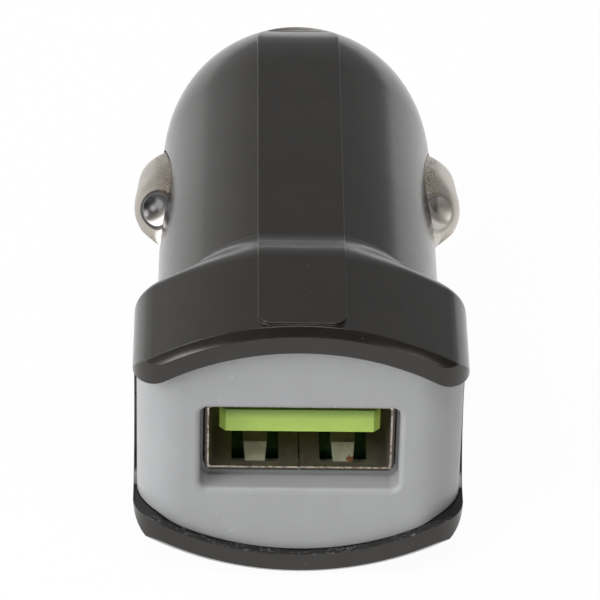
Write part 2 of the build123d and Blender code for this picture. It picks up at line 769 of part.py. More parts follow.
def side_contact():
    """Right side contact: hollow stamped boat with dimpled flanks, end tabs and a board wiper."""
    body = wing_body()
    hollow = wing_body(-WING_SHEET, 1)
    x, y, z = DIMPLE_AT
    shell = body - hollow
    for s in (1, -1):
        shell = shell + (Pos(x, y, s * z) * Sphere(DIMPLE_R + WING_SHEET) & body)
    for s in (1, -1):
        shell = shell - Pos(x, y, s * z) * Sphere(DIMPLE_R)
    inner = WING_BASE - WING_SHEET
    outer = WING_BASE + SEAT_GAP
    y0 = WING_FIRST - TAB_FRONT
    y1 = WING_FIRST + WING_SHEET
    shell = shell + block(inner, outer, y0, y1, -TAB_FRONT_HALF, TAB_FRONT_HALF)
    y0 = WING_LAST - WING_SHEET
    y1 = WING_LAST + TAB_BACK
    shell = shell + block(inner, outer, y0, y1, -TAB_BACK_HALF, TAB_BACK_HALF)
    shell = tilted(shell)
    foot = BOARD_TOP + SEAT_GAP
    y0 = WING_FIRST - WIPER_FRONT
    y1 = WING_FIRST - WIPER_BACK
    shell = shell + block(WIPER_X, WIPER_X + WING_SHEET, y0, y1, foot, 0)
    return shell + block(WIPER_X - WIPER_REACH, WIPER_X + WING_SHEET, y0, y1, foot, foot + WING_SHEET)


def nose_ring():
    """Metal ring over the spigot of both halves, flush with the nose."""
    bore = spigot_radius() + RING_GAP
    step = SPIGOT_END + RING_GAP
    edges = [
        nose_curve(RING_FRONT, RING_BACK),
        Line((nose_radius(RING_BACK), RING_BACK), (RING_HOLE_R, RING_BACK)),
        Line((RING_HOLE_R, RING_BACK), (RING_HOLE_R, step)),
        Line((RING_HOLE_R, step), (bore, step)),
        Line((bore, step), (bore, RING_FRONT)),
        Line((bore, RING_FRONT), (nose_radius(RING_FRONT), RING_FRONT)),
    ]
    return revolve(make_face(edges), Axis.Y)


def tip_contact():
    """Turned centre contact with a round end, a flange behind the nose ring and a stub for the spring."""
    body = rod(TIP_R, TIP_FLANGE_BACK, TIP_END)
    end = body.faces().sort_by(Axis.Y)[-1]
    body = fillet(end.edges(), TIP_ROUND)
    body = body + rod(TIP_FLANGE_R, TIP_FLANGE_BACK, TIP_FLANGE_FRONT)
    return body + rod(COIL_R - WIRE_R - LUG_GAP, TIP_FLANGE_BACK - TIP_STUB, TIP_FLANGE_BACK)


def spring_terminal():
    """Solder lug under the spring, with a leg through the bulkhead to the board."""
    back = BULKHEAD_BACK + LUG_THICK
    body = rod(LUG_R, BULKHEAD_BACK, back)
    x0 = LUG_LEG_X - LUG_LEG_WIDTH / 2
    x1 = LUG_LEG_X + LUG_LEG_WIDTH / 2
    foot = BOARD_TOP + SEAT_GAP
    body = body + block(x0, x1, BULKHEAD_BACK, back, foot, LUG_LEG_TOP)
    return body + block(x0, x1, LUG_LEG_FRONT, back, foot, foot + LUG_THICK)


def tip_spring():
    """Coil spring between the lug and the centre contact."""
    start = BULKHEAD_BACK + LUG_THICK + WIRE_R + COIL_GAP
    end = TIP_FLANGE_BACK - WIRE_R - COIL_GAP
    path = Helix((end - start) / COIL_TURNS, end - start, COIL_R)
    start_plane = Plane(path @ 0, z_dir=path % 0)
    coil = sweep(start_plane * RegularPolygon(WIRE_R, 6), path=path)
    return Pos(0, start, 0) * Rot(-90, 0, 0) * coil


def main():
    os.makedirs(OUT, exist_ok=True)
    body = shell_body()
    right = side_contact()
    nodes = {
        "upper_shell": upper_shell(body),
        "lower_shell": lower_shell(body),
        "front_fascia": front_fascia(),
        "usb_shell": usb_shell(),
        "usb_insulator": usb_insulator(),
        "circuit_board": circuit_board(),
        "input_capacitor": can(INPUT_CAN_R, INPUT_CAN_AT),
        "output_capacitor": can(OUTPUT_CAN_R, OUTPUT_CAN_AT),
        "inductor_core": inductor_core(),
        "inductor_winding": inductor_winding(),
        "converter_chip": underneath(leaded_chip(CONVERTER_SIZE, CONVERTER_LEADS), CONVERTER_AT),
        "port_chip": on_top(leaded_chip(PORT_CHIP_SIZE, PORT_CHIP_LEADS), PORT_CHIP_AT),
        "rectifier_diode": underneath(leaded_chip(DIODE_SIZE, DIODE_LEADS), DIODE_AT, 90),
        "chip_resistors": chip_group(RESISTOR_SIZE, RESISTOR_TOP, RESISTOR_UNDER),
        "chip_capacitors": chip_group(CERAMIC_SIZE, CERAMIC_TOP, CERAMIC_UNDER),
        "left_contact": mirror(right, about=Plane.YZ),
        "right_contact": right,
        "nose_ring": nose_ring(),
        "tip_contact": tip_contact(),
        "tip_spring": tip_spring(),
        "spring_terminal": spring_terminal(),
    }
    for index, x in enumerate(CONTACT_X):
        nodes["usb_contact_" + str(index + 1)] = usb_contact(x)
    for name, solid in nodes.items():
        export_step(solid, os.path.join(OUT, name + ".step"))


if __name__ == "__main__":
    main()
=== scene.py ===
"""Looks of a car charger plug: finishes for every piece, wound coils, studio stage and camera."""
from math import cos, pi, radians, sin

import bpy
from bpy.props import FloatProperty, FloatVectorProperty, IntProperty, PointerProperty
from mathutils import Matrix, Vector


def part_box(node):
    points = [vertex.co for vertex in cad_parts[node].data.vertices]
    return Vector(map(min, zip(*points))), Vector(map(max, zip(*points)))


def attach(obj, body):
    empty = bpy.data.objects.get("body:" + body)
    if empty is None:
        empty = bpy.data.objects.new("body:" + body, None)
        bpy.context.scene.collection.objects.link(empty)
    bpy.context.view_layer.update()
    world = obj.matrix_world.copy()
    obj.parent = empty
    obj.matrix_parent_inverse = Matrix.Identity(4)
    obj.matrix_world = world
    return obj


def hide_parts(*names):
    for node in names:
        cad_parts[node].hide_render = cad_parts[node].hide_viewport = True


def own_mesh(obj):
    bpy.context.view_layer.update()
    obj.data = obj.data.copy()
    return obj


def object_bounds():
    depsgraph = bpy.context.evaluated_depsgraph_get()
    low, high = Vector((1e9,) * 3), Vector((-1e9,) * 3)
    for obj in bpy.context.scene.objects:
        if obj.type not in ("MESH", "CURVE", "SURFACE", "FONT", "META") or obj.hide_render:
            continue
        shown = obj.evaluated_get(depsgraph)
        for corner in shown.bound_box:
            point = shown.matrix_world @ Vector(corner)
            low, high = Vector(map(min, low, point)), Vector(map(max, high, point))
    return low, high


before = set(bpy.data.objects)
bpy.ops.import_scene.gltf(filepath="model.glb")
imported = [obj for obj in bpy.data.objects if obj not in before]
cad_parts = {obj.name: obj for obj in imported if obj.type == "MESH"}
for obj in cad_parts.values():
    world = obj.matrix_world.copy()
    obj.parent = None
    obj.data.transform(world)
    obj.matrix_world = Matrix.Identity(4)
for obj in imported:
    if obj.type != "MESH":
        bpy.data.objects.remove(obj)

bl_info = {
    "name": "Car charger plug",
    "version": (1, 0, 0),
    "blender": (4, 5, 0),
    "location": "View3D > Sidebar > Charger",
    "description": "Finishes, wound coils, stage and camera for a car charger plug",
    "category": "Object",
}

MM = 0.001
CAD_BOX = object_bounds()
FLOOR_Z = CAD_BOX[0][2]
SPRING_LOW, SPRING_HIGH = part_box("tip_spring")
DRUM_LOW, DRUM_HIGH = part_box("inductor_winding")

# Places on the port, in millimetres
PORT_HALF_WIDTH, PORT_HALF_HEIGHT = 6.25, 2.56
FINGER_MIDDLE = 3.05
RUST_PLACE = (3.62, -10.9, -2.7)

# Rounding of thin edges in millimetres, and stretch of lines drawn along the plug
SHEET_EDGE = 0.08
CONTACT_EDGE = 0.1
DRAWN, SCRATCHED = (1, 0.06, 1), (1, 0.12, 1)

# Colours of wear, dirt and shine, and of painted highlight and painted shade
BLACK = (0.0, 0.0, 0.0)
WHITE = (1, 1, 1, 1)
DUST_GREY = (0.06, 0.058, 0.055)
# Painted highlight on the strip's rear step at the nose
STEP_HIGHLIGHT = (0.42, 0.40, 0.38)
CRUMB_GREY = (0.13, 0.13, 0.135)
WARM_SHINE = (1.0, 0.965, 0.925, 1.0)
MOTE_PALE = (0.52, 0.53, 0.54)
SHEET_BROWN, SHEET_STAIN = (0.45, 0.385, 0.385), (0.40, 0.335, 0.34)
FINGER_DULL, FINGER_STAIN = (0.37, 0.375, 0.275), (0.29, 0.29, 0.205)
RUST = (0.17, 0.065, 0.025)
# The third rim colour is painted shade on the rim's outer part
RIM_BRIGHT, RIM_FLECK, RIM_SHADE = (0.50, 0.455, 0.39), (0.19, 0.145, 0.10), (0.06, 0.05, 0.04)
# Bowl colours: painted highlight on the front of each dimple, and painted shade in it
BOWL_RIGHT_HIGHLIGHT, BOWL_LEFT_HIGHLIGHT = (0.66, 0.615, 0.57), (0.92, 0.91, 0.89)
BOWL_SHADE = (0.07, 0.068, 0.07)
PIT_BROWN = (0.19, 0.135, 0.085)
# Painted shade along the tongue's upper edge
TONGUE_SHADE = (0.36, 0.42, 0.30)

# Metals, and the parts on the board: finish, colour, roughness, metal share, pieces
GOLD = (0.83, 0.6, 0.24)
STEEL = (0.55, 0.55, 0.56)
COPPER = (0.62, 0.26, 0.11)
BOARD_FINISHES = (
    ("solder_mask", (0.03, 0.08, 0.03), 0.4, 0.0, ("circuit_board",)),
    ("chip_epoxy", (0.02, 0.02, 0.022), 0.5, 0.0,
     ("converter_chip", "port_chip", "rectifier_diode")),
    ("ferrite", (0.05, 0.05, 0.054), 0.6, 0.0, ("inductor_core",)),
    ("can_metal", (0.72, 0.73, 0.75), 0.25, 1.0, ("input_capacitor", "output_capacitor")),
    ("resistor_coat", (0.03, 0.03, 0.035), 0.45, 0.0, ("chip_resistors",)),
    ("tan_ceramic", (0.42, 0.28, 0.16), 0.5, 0.0, ("chip_capacitors",)),
)

# Soft boxes: name, place and size in metres, brightness
SOFT_BOXES = (
    ("key_box", (-0.45, -0.36, 0.54), (0.3, 0.3), 7.0),
    ("left_box", (-0.65, -0.25, 0.15), (0.5, 0.5), 4.2),
    ("right_box", (0.45, -0.36, 0.54), (0.35, 0.35), 1.5),
    ("front_box", (0.0, -0.85, 0.25), (1.0, 0.35), 0.6),
    ("top_box", (0.0, -0.2, 0.87), (0.4, 0.4), 7.0),
)
FLOOR_HALF = 2.5
FLOOR_WHITE = (0.86, 0.86, 0.86, 1)
FLOOR_ROUGH = 0.9
FLOOR_GLOW = 0.96
LEFT_SLOPE = -1.7
SENSOR_WIDTH = 36
CLIP_START = 0.01

# Low and high ends of a noise, and steps of round shapes
WIDE, MIDDLE = (0.3, 0.7), (0.35, 0.65)
EDGE_SAMPLES = 6
TURN_POINTS = 28
WIRE_SIDES = 10

# Sockets of a colour mix
MIX_SHARE, MIX_FIRST, MIX_SECOND, MIX_RESULT = 0, 6, 7, 2


# Node helpers

def new_material(name):
    """Empty node material with its principled shader."""
    material = bpy.data.materials.new(name)
    material.use_nodes = True
    tree = material.node_tree
    return material, tree, tree.nodes["Principled BSDF"]


def feed(tree, node, inputs):
    """Set each input to a value, or link it to a socket."""
    for key, value in inputs.items():
        if isinstance(value, bpy.types.NodeSocket):
            tree.links.new(value, node.inputs[key])
        else:
            node.inputs[key].default_value = value


def add_node(tree, kind, inputs=None, **settings):
    """Node with its settings and inputs."""
    node = tree.nodes.new(kind)
    for key, value in settings.items():
        setattr(node, key, value)
    feed(tree, node, inputs or {})
    return node


def millimetres(tree, stretch=(1, 1, 1)):
    """Object coordinates in millimetres, stretched along an axis for brushed or drawn finishes."""
    place = add_node(tree, "ShaderNodeTexCoord").outputs["Object"]
    scale = [s / MM for s in stretch]
    return add_node(tree, "ShaderNodeMapping", {"Vector": place, "Scale": scale}).outputs[0]


def separate(tree, vector):
    """Three coordinates of a place or a direction."""
    return add_node(tree, "ShaderNodeSeparateXYZ", {0: vector}).outputs


def combine(tree, *values):
    """Place with the given coordinates."""
    return add_node(tree, "ShaderNodeCombineXYZ", dict(enumerate(values))).outputs[0]


def distance(tree, place, point):
    """How far a place is from a point."""
    inputs = {0: place, 1: point}
    return add_node(tree, "ShaderNodeVectorMath", inputs, operation="DISTANCE").outputs["Value"]


def calc(tree, operation, a, b=0.0):
    """One sum on two values."""
    return add_node(tree, "ShaderNodeMath", {0: a, 1: b}, operation=operation).outputs[0]


def fold(tree, operation, values):
    """The same sum on several values in turn."""
    result = values[0]
    for value in values[1:]:
        result = calc(tree, operation, result, value)
    return result


def product(tree, *values):
    """Several values multiplied."""
    return fold(tree, "MULTIPLY", values)


def total(tree, *values):
    """Several values added."""
    return fold(tree, "ADD", values)


def largest(tree, *values):
    """The largest of several values."""
    return fold(tree, "MAXIMUM", values)


def size_of(tree, value):
    """Value without its sign."""
    return calc(tree, "ABSOLUTE", value)


def from_axis(tree, aside, up):
    """Distance from the plug axis."""
    return calc(tree, "SQRT", total(tree, product(tree, aside, aside), product(tree, up, up)))


def remap(tree, value, low, high, to_low=0.0, to_high=1.0):
    """Value taken from one range to another, smoothly and clamped."""
    inputs = {
        "Value": value,
        "From Min": low,
        "From Max": high,
        "To Min": to_low,
        "To Max": to_high,
    }
    return add_node(tree, "ShaderNodeMapRange", inputs, interpolation_type="SMOOTHSTEP").outputs[0]


def zone(tree, *limits):
    """Mask that is one where each value has gone from its first limit to its second."""
    return product(tree, *[remap(tree, value, start, end) for value, start, end in limits])


def noise(tree, vector, per_mm, detail, roughness=0.5):
    """Grain of so many features per millimetre."""
    inputs = {"Vector": vector, "Scale": per_mm, "Detail": detail, "Roughness": roughness}
    return add_node(tree, "ShaderNodeTexNoise", inputs).outputs["Fac"]


def patchy(tree, at, per_mm, detail, spread, low=0.0, high=1.0, roughness=0.5):
    """Value that wanders over the surface between two levels."""
    return remap(tree, noise(tree, at, per_mm, detail, roughness), *spread, low, high)


def scaled(colour, factor):
    """Colour made lighter or darker."""
    return [c * factor for c in colour]


def tint(tree, share, first, second):
    """Colour between two, by a share."""
    inputs = {MIX_SHARE: share}
    for key, colour in ((MIX_FIRST, first), (MIX_SECOND, second)):
        is_socket = isinstance(colour, bpy.types.NodeSocket)
        inputs[key] = colour if is_socket else (*colour, 1.0)
    return add_node(tree, "ShaderNodeMix", inputs, data_type="RGBA").outputs[MIX_RESULT]


def mottled(tree, at, colour, factor, per_mm, detail, spread):
    """Colour that goes lighter or darker in soft clouds."""
    cloud = patchy(tree, at, per_mm, detail, spread)
    return tint(tree, cloud, colour, scaled(colour, factor))


def soft_edge(tree, radius):
    """Normal that rounds sharp edges by a radius in millimetres."""
    inputs = {"Radius": radius * MM}
    return add_node(tree, "ShaderNodeBevel", inputs, samples=EDGE_SAMPLES).outputs[0]


def relief(tree, shader, height, depth, normal=None):
    """Bump of a depth in millimetres under the shader, over soft edges where a normal is given."""
    inputs = {"Height": height, "Distance": depth * MM}
    if normal:
        inputs["Normal"] = normal
    bump = add_node(tree, "ShaderNodeBump", inputs).outputs[0]
    feed(tree, shader, {"Normal": bump})
    return bump


# Finishes. Limits are in millimetres for places, and parts of one for a direction.

def gloss_black(look):
    """Polished black moulding with dust, a hollow bevel, a rough ledge and a painted highlight on
    the rear step.
    """
    material, tree, shader = new_material("gloss_black")
    ledge_rough, grain_share, hollow_share = 0.12, 0.04, 2.6
    at = millimetres(tree)
    aside, along, up = separate(tree, at)
    facing = add_node(tree, "ShaderNodeNewGeometry").outputs["True Normal"]
    _, forward, upward = separate(tree, facing)
    ledge = zone(tree, (upward, 0.3, 0.6), (up, -4.2, -4.6), (along, -13.2, -13.3))
    front = zone(tree, (forward, -0.45, -0.55), (forward, -0.95, -0.85))
    hollow = product(tree, front, zone(tree, (upward, 0.3, 0.4), (along, -14.0, -12.9)))
    rear = zone(tree, (upward, 0.6, 0.45), (along, 24.0, 24.4))
    step = product(tree, rear, zone(tree, (size_of(tree, aside), 3.05, 2.95), (up, 6.0, 6.3)))
    crumb = patchy(tree, at, per_mm=3.4, detail=3, spread=(0.56, 0.66), roughness=0.7)
    dust = patchy(tree, at, per_mm=4.6, detail=0, spread=(0.862, 0.885))
    base = mottled(tree, at, look.housing, factor=1.25, per_mm=0.35, detail=3, spread=MIDDLE)
    base = tint(tree, dust, base, DUST_GREY)
    # Painted highlight: the strip's rear step is tinted pale, standing in for light on a wall that
    # lies in shade.
    base = tint(tree, step, base, STEP_HIGHLIGHT)
    base = tint(tree, product(tree, ledge, crumb), base, CRUMB_GREY)
    satin = patchy(tree, at, per_mm=1.3, detail=4, spread=WIDE, low=0.17, high=0.22)
    feed(tree, shader, {
        "Base Color": base,
        "Roughness": total(tree, satin, product(tree, ledge, ledge_rough)),
        "IOR": 1.5,
        "Specular Tint": WARM_SHINE,
        "Coat Weight": 0.2,
        "Coat Roughness": 0.16,
    })
    grain = product(tree, noise(tree, at, per_mm=9, detail=2), grain_share)
    chips = product(tree, ledge, noise(tree, at, per_mm=3.2, detail=3, roughness=0.6))
    height = total(tree, grain, chips, product(tree, hollow, hollow_share))
    bump = relief(tree, shader, height, depth=0.06, normal=soft_edge(tree, look.edge / MM))
    feed(tree, shader, {"Coat Normal": bump})
    return material


def satin_grey(look):
    """Light grey moulding of the face, with a faint mottle, motes, fine grain and soft edges."""
    material, tree, shader = new_material("satin_grey")
    at = millimetres(tree)
    base = mottled(tree, at, look.fascia, factor=1.04, per_mm=0.5, detail=4, spread=WIDE)
    mote = patchy(tree, at, per_mm=4.3, detail=0, spread=(0.865, 0.885))
    feed(tree, shader, {
        "Base Color": tint(tree, mote, base, MOTE_PALE),
        "Roughness": patchy(tree, at, per_mm=2.5, detail=3, spread=WIDE, low=0.34, high=0.42),
        "IOR": 1.47,
    })
    grain = noise(tree, at, per_mm=9, detail=2)
    relief(tree, shader, grain, depth=0.003, normal=soft_edge(tree, look.edge / MM))
    return material


def port_plate():
    """Nickel sheet of the port: brown inside, dull finger tips, a rust spot and a thin worn rim
    with painted shade on its outer part.
    """
    material, tree, shader = new_material("port_plate")
    inside_dull, tip_dull, rim_dull = 0.1, 0.75, 0.6
    tip_rough, ragged_share, line_share = 0.15, 0.5, 0.05
    at = millimetres(tree)
    aside, along, up = separate(tree, at)
    reach, height = size_of(tree, aside), size_of(tree, up)
    drawn = noise(tree, millimetres(tree, DRAWN), per_mm=7, detail=4)
    stain = patchy(tree, at, per_mm=0.9, detail=5, spread=MIDDLE, roughness=0.6)
    base = tint(tree, stain, SHEET_BROWN, SHEET_STAIN)
    offset = size_of(tree, calc(tree, "SUBTRACT", reach, FINGER_MIDDLE))
    finger = zone(tree, (offset, 0.88, 0.86), (along, -9.7, -9.75))
    tip = product(tree, finger, zone(tree, (along, -11.29, -11.25), (height, 3.2, 3.15)))
    base = tint(tree, tip, base, tint(tree, stain, FINGER_DULL, FINGER_STAIN))
    ragged = product(tree, noise(tree, at, per_mm=3, detail=3), ragged_share)
    spot = zone(tree, (total(tree, distance(tree, at, RUST_PLACE), ragged), 0.62, 0.52))
    base = tint(tree, spot, base, RUST)
    rim = zone(tree, (along, -11.80, -11.85))
    past_side = calc(tree, "SUBTRACT", reach, PORT_HALF_WIDTH)
    past_top = calc(tree, "SUBTRACT", height, PORT_HALF_HEIGHT)
    # Painted shade: the outer part of the rim is painted dark so that it runs into the shadow gap
    # beside the shell; worn below carries it along with the real wear flecks.
    outer = zone(tree, (largest(tree, past_side, past_top), 0.09, 0.15))
    fleck = patchy(tree, at, per_mm=3.6, detail=4, spread=(0.5, 0.6), roughness=0.65)
    fleck = largest(tree, fleck, outer)
    worn = tint(tree, fleck, RIM_BRIGHT, tint(tree, outer, RIM_FLECK, RIM_SHADE))
    dull = largest(
        tree,
        product(tree, tip, tip_dull),
        product(tree, rim, fleck, rim_dull),
        remap(tree, along, -11.8, -11.7, to_high=inside_dull),
    )
    lines = remap(tree, drawn, *WIDE, to_low=0.3, to_high=0.36)
    feed(tree, shader, {
        "Base Color": tint(tree, rim, base, worn),
        "Metallic": calc(tree, "SUBTRACT", 1.0, dull),
        "Roughness": total(tree, lines, product(tree, tip, tip_rough)),
    })
    bumps = total(tree, product(tree, drawn, line_share), product(tree, rim, fleck))
    relief(tree, shader, bumps, depth=0.02, normal=soft_edge(tree, SHEET_EDGE))
    return material


def side_plate(look):
    """Nickel of the side contacts: satin, pale in front, pitted brown by the barrel, dimpled with
    painted highlight and painted shade; the right one painted lighter.
    """
    material, tree, shader = new_material("side_plate")
    corner_shade_share, foot_share, cloud_share, scratch_share = 0.8, 0.6, 0.12, 0.1
    satin, worn_rough = 0.3, 0.25
    at = millimetres(tree)
    aside, along, up = separate(tree, at)
    reach = size_of(tree, aside)
    left = remap(tree, aside, 1.0, -1.0, to_low=0.35)
    right = zone(tree, (aside, 0.0, 1.0), (reach, 10.5, 10.1))
    middle = [c / MM for c in look.dimple]
    away = distance(tree, combine(tree, reach, along, up), middle)
    dimple = remap(tree, away, 1.93, 1.98, to_low=1.0, to_high=0.0)
    # Painted shade: the ring round the left dimple, the rear of the left bowl and the right
    # dimple's rear corner.
    ring = product(tree, zone(tree, (away, 1.93, 1.97), (away, 2.3, 2.12)), left)
    corner = product(tree, right, zone(tree, (along, 12.2, 12.5)), corner_shade_share)
    bowl = product(tree, zone(tree, (along, 11.5, 12.5)), left)
    far_shade = product(tree, dimple, largest(tree, bowl, corner))
    # Painted highlight: the front of each dimple, whitest on the left and made less metallic.
    near_highlight = product(tree, dimple, zone(tree, (along, 12.1, 11.5)))
    lead = zone(tree, (along, 11.2, 10.4))
    pits = patchy(tree, at, per_mm=7.5, detail=4, spread=(0.42, 0.66), roughness=0.6)
    radius = from_axis(tree, aside, up)
    inner = product(tree, zone(tree, (radius, 11.1, 10.4), (along, 11.6, 12.8)), pits)
    front = zone(tree, (aside, 9.0, 10.0), (along, 11.0, 10.4))
    foot = product(tree, front, pits, foot_share)
    flat = calc(tree, "SUBTRACT", 1.0, dimple)
    worn = product(tree, largest(tree, inner, foot), flat)
    cloud = patchy(tree, at, per_mm=0.7, detail=4, spread=MIDDLE)
    # Painted light: the right contact's colour is made lighter than the left one's.
    plate = tint(tree, left, scaled(look.contact, 1.3), look.contact)
    base = tint(tree, cloud, plate, tint(tree, cloud_share, plate, BLACK))
    base = tint(tree, lead, base, scaled(look.nickel, 1.28))
    # Painted highlight on the front of the dimples, then painted shade on their ring and rear.
    base = tint(tree, near_highlight, base, tint(tree, left, BOWL_RIGHT_HIGHLIGHT, BOWL_LEFT_HIGHLIGHT))
    base = tint(tree, largest(tree, ring, far_shade), base, BOWL_SHADE)
    polish = product(tree, dimple, remap(tree, aside, -1.0, 1.0, to_low=-0.04, to_high=0.16))
    feed(tree, shader, {
        "Base Color": tint(tree, worn, base, PIT_BROWN),
        "Metallic": remap(tree, largest(tree, near_highlight, lead), 0.0, 1.0, to_low=0.95, to_high=0.15),
        "Roughness": total(tree, satin, polish, product(tree, worn, worn_rough)),
    })
    scratch = noise(tree, millimetres(tree, SCRATCHED), per_mm=8, detail=3)
    height = calc(tree, "SUBTRACT", product(tree, scratch, scratch_share), worn)
    relief(tree, shader, height, depth=0.007, normal=soft_edge(tree, CONTACT_EDGE))
    return material


def green_plastic(look):
    """Green moulding of the port: painted shade along the tongue's upper edge, and a painted
    highlight in patches along the lower edge.
    """
    material, tree, shader = new_material("green_plastic")
    at = millimetres(tree)
    up = separate(tree, at)["Z"]
    base = mottled(tree, at, look.tongue, factor=0.93, per_mm=0.8, detail=4, spread=WIDE)
    # Painted shade: the tongue darkens towards its upper edge, under the pocket's edge.
    painted_shade = [c * dim for c, dim in zip(look.tongue, TONGUE_SHADE)]
    base = tint(tree, zone(tree, (up, 1.0, 1.95)), base, painted_shade)
    # Painted highlight: patches of lighter green along the tongue's lower edge.
    patches = patchy(tree, at, per_mm=3, detail=3, spread=(0.35, 0.6))
    lower_highlight = product(tree, zone(tree, (up, 0.22, 0.1)), patches)
    feed(tree, shader, {
        "Base Color": tint(tree, lower_highlight, base, scaled(look.tongue, 1.15)),
        "Roughness": patchy(tree, at, per_mm=2.2, detail=3, spread=WIDE, low=0.34, high=0.46),
    })
    grain = noise(tree, at, per_mm=8, detail=2)
    relief(tree, shader, grain, depth=0.004, normal=soft_edge(tree, SHEET_EDGE))
    return material


def turned_metal(name, colour, rough):
    """Turned or drawn bright metal with fine lines round the plug axis."""
    material, tree, shader = new_material(name)
    aside, along, up = separate(tree, millimetres(tree))
    turned = combine(tree, from_axis(tree, aside, up), along)
    lines = noise(tree, turned, per_mm=9, detail=3)
    feed(tree, shader, {
        "Base Color": tint(tree, remap(tree, lines, *WIDE), colour, scaled(colour, 0.86)),
        "Metallic": 1.0,
        "Roughness": remap(tree, lines, *WIDE, to_low=rough * 0.8, to_high=rough * 1.3),
    })
    relief(tree, shader, lines, depth=0.004, normal=soft_edge(tree, SHEET_EDGE))
    return material


def board_part(name, colour, rough, metal):
    """Finish of a part on the board, mottled at its own scale."""
    material, tree, shader = new_material(name)
    at = millimetres(tree)
    matt = {"low": rough * 0.85, "high": rough * 1.15}
    feed(tree, shader, {
        "Base Color": mottled(tree, at, colour, factor=0.8, per_mm=1.5, detail=4, spread=MIDDLE),
        "Metallic": metal,
        "Roughness": patchy(tree, at, per_mm=4, detail=3, spread=WIDE, **matt),
    })
    relief(tree, shader, noise(tree, at, per_mm=6, detail=3), depth=0.006)
    return material


def dress(material, *nodes):
    """Give CAD pieces their finish."""
    for name in nodes:
        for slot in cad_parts[name].material_slots:
            slot.material = material


# Coils

def put(name, data):
    """New object in the scene."""
    thing = bpy.data.objects.new(name, data)
    bpy.context.scene.collection.objects.link(thing)
    return thing


def coil_tree(material):
    """Node tree of a round wire wound into a coil along its own Z."""
    tree = bpy.data.node_groups.new("wound_coil", "GeometryNodeTree")
    sockets = (("Turns", 4.5), ("Radius", 2 * MM), ("Length", 6 * MM), ("Wire", 0.3 * MM))
    for name, default in sockets:
        socket = tree.interface.new_socket(name, in_out="INPUT", socket_type="NodeSocketFloat")
        socket.default_value = default
    tree.interface.new_socket("Geometry", in_out="OUTPUT", socket_type="NodeSocketGeometry")
    given = tree.nodes.new("NodeGroupInput").outputs
    coil = add_node(tree, "GeometryNodeCurveSpiral", {
        "Resolution": TURN_POINTS,
        "Rotations": given["Turns"],
        "Start Radius": given["Radius"],
        "End Radius": given["Radius"],
        "Height": given["Length"],
    })
    ring = add_node(tree, "GeometryNodeCurvePrimitiveCircle", {
        "Resolution": WIRE_SIDES,
        "Radius": given["Wire"],
    })
    tube = add_node(tree, "GeometryNodeCurveToMesh", {
        "Curve": coil.outputs[0],
        "Profile Curve": ring.outputs[0],
        "Fill Caps": True,
    })
    whole = add_node(tree, "GeometryNodeRealizeInstances", {0: tube.outputs[0]})
    painted = add_node(tree, "GeometryNodeSetMaterial", {
        "Geometry": whole.outputs[0],
        "Material": material,
    })
    add_node(tree, "NodeGroupOutput", {0: painted.outputs[0]})
    return tree


def wound_coil(name, material, turns, radius, length, wire, place):
    """Coil piece as a plain mesh, put in its place."""
    carrier = put(name + "_carrier", bpy.data.meshes.new(name + "_carrier"))
    tree = coil_tree(material)
    modifier = carrier.modifiers.new("coil", "NODES")
    modifier.node_group = tree
    values = {"Turns": turns, "Radius": radius, "Length": length, "Wire": wire}
    for item in tree.interface.items_tree:
        if item.in_out == "INPUT":
            modifier[item.identifier] = values[item.name]
    bpy.context.view_layer.update()
    evaluated = carrier.evaluated_get(bpy.context.evaluated_depsgraph_get())
    mesh = bpy.data.meshes.new_from_object(evaluated)
    carrier.modifiers.remove(modifier)
    bpy.data.objects.remove(carrier)
    mesh.transform(place)
    mesh.shade_smooth()
    return put(name, mesh)


# Stage

def seen_rays(tree):
    """One for rays of the camera, and for those that a mirror or glass sends on."""
    path = add_node(tree, "ShaderNodeLightPath").outputs
    mirrored = largest(tree, path["Is Glossy Ray"], path["Is Transmission Ray"])
    return largest(tree, path["Is Camera Ray"], mirrored)


def make_floor():
    """White table that keeps the shadow."""
    mesh = bpy.data.meshes.new("floor")
    signs = ((-1, -1), (1, -1), (1, 1), (-1, 1))
    corners = [(x * FLOOR_HALF, y * FLOOR_HALF, FLOOR_Z) for x, y in signs]
    mesh.from_pydata(corners, [], [(0, 1, 2, 3)])
    floor = put("floor", mesh)
    material, tree, shader = new_material("white_table")
    feed(tree, shader, {"Base Color": FLOOR_WHITE, "Roughness": FLOOR_ROUGH})
    glow = add_node(tree, "ShaderNodeEmission", {"Color": WHITE, "Strength": 1.0})
    share = product(tree, seen_rays(tree), FLOOR_GLOW)
    inputs = {0: share, 1: shader.outputs[0], 2: glow.outputs[0]}
    mix = add_node(tree, "ShaderNodeMixShader", inputs)
    feed(tree, tree.nodes["Material Output"], {"Surface": mix.outputs[0]})
    mesh.materials.append(material)


def make_world(scene, stage):
    """Surroundings: white round the horizon, brighter on the left, dim on the camera's side."""
    world = bpy.data.worlds.new("studio")
    scene.world = world
    world.use_nodes = True
    tree = world.node_tree
    ray = add_node(tree, "ShaderNodeTexCoord").outputs["Generated"]
    aside, along, up = separate(tree, ray)
    left = largest(tree, product(tree, aside, LEFT_SLOPE), 0.0)
    left = product(tree, left, left, stage.glow)
    behind = remap(tree, along, -0.35, 0.25, to_low=0.3)
    level = product(tree, total(tree, left, stage.backdrop), behind)
    horizon = remap(tree, up, 0.0, 0.09, to_low=1.0, to_high=0.0)
    camera = add_node(tree, "ShaderNodeLightPath").outputs["Is Camera Ray"]
    white = largest(tree, product(tree, seen_rays(tree), horizon), camera)
    feed(tree, tree.nodes["Background"], {"Color": WHITE, "Strength": largest(tree, level, white)})


